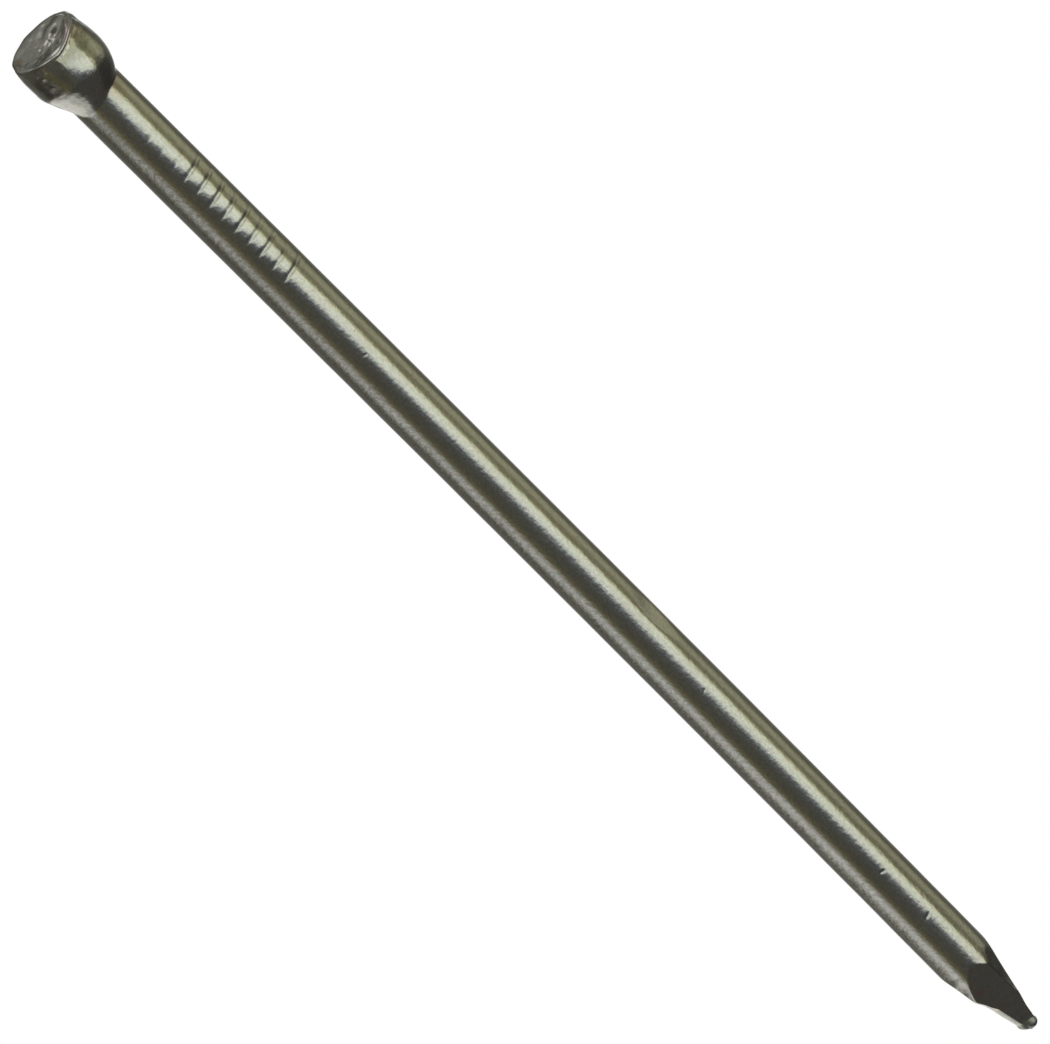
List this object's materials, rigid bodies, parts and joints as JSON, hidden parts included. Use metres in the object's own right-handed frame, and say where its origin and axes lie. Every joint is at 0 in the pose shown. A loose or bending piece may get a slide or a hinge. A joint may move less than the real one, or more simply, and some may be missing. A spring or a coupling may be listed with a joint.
{
  "type": "nail",
  "caption": "Slim bright steel finishing nail with a small barrel-shaped head, gripping-die marks below it and a pinched diamond point.",
  "frame": {"origin": "on the wire's axis in the plane of the struck face, which ends flush with the timber when the nail is driven", "axes": "+Z points out of the head along the wire's axis, so the nail is driven towards -Z; X lies along the wide faces of the point's tip"},
  "size_m": [0.0036, 0.0034, 0.0635],
  "materials": {
    "steel": "bright drawn wire, uncoated, with fine drawing lines along it"
  },
  "bodies": {
    "root": {"nail": "steel"}
  },
  "joints": []
}
